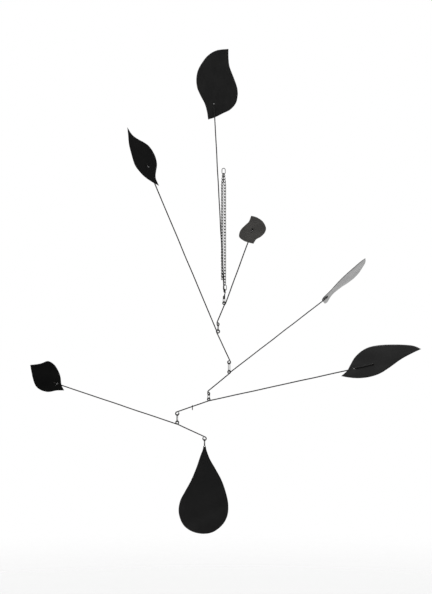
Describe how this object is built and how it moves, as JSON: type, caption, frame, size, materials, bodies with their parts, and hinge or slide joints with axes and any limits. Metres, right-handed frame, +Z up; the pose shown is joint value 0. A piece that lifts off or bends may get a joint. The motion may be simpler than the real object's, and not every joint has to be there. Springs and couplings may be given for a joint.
{
  "type": "hanging mobile sculpture",
  "caption": "Hanging mobile: black sheet-metal leaves and a drop on balanced bent-wire arms, linked one below the other under a doubled curb chain and a small ring.",
  "frame": {"origin": "the inside top of the ring, where the hook that holds the mobile bears", "axes": "+Z up along the chain, +X to the right and +Y away in the view of the picture"},
  "size_m": [0.9981, 0.5001, 1.2798],
  "materials": {
    "black_paint": "satin black paint on sheet metal, lightly brushed on, thin at the edges",
    "dark_wire": "steel wire painted satin black",
    "chain_steel": "bright steel curb chain, dulled in the hollows",
    "link_steel": "plain bright steel wire"
  },
  "bodies": {
    "root": {"hanging_ring": "link_steel", "hanging_chain": "chain_steel", "chain_link": "link_steel"},
    "top": {"top_arm": "dark_wire", "top_leaf": "black_paint", "top_link": "link_steel"},
    "small": {"small_arm": "dark_wire", "small_leaf": "black_paint", "small_link": "link_steel"},
    "upper_left": {"upper_left_arm": "dark_wire", "upper_left_leaf": "black_paint", "upper_left_link": "link_steel"},
    "upper_right": {"upper_right_arm": "dark_wire", "upper_right_leaf": "black_paint", "upper_right_link": "link_steel"},
    "right": {"right_arm": "dark_wire", "right_leaf": "black_paint", "right_link": "link_steel", "spare_link": "link_steel"},
    "left": {"left_arm": "dark_wire", "left_leaf": "black_paint", "left_link": "link_steel"},
    "drop": {"drop_leaf": "black_paint"}
  },
  "joints": [
    {"name": "top_turn", "type": "hinge", "parent": "root", "child": "top", "pos_m": [0.0033, 0, -0.3218], "axis": [0, 0, 1], "range_deg": [-20, 20]},
    {"name": "small_turn", "type": "hinge", "parent": "top", "child": "small", "pos_m": [0.00092, -0.05207, -0.35333], "axis": [0, 0, 1], "range_deg": [-20, 20]},
    {"name": "upper_left_turn", "type": "hinge", "parent": "small", "child": "upper_left", "pos_m": [-0.01438, -0.0462, -0.42656], "axis": [0, 0, 1], "range_deg": [-20, 20]},
    {"name": "upper_right_turn", "type": "hinge", "parent": "upper_left", "child": "upper_right", "pos_m": [0.0141, -0.0311, -0.53091], "axis": [0, 0, 1], "range_deg": [-20, 20]},
    {"name": "right_turn", "type": "hinge", "parent": "upper_right", "child": "right", "pos_m": [-0.03836, -0.07422, -0.60022], "axis": [0, 0, 1], "range_deg": [-20, 20]},
    {"name": "left_turn", "type": "hinge", "parent": "right", "child": "left", "pos_m": [-0.11979, -0.04634, -0.66164], "axis": [0, 0, 1], "range_deg": [-20, 20]},
    {"name": "drop_turn", "type": "hinge", "parent": "left", "child": "drop", "pos_m": [-0.04921, -0.06354, -0.71732], "axis": [0, 0, 1], "range_deg": [-20, 20]}
  ]
}
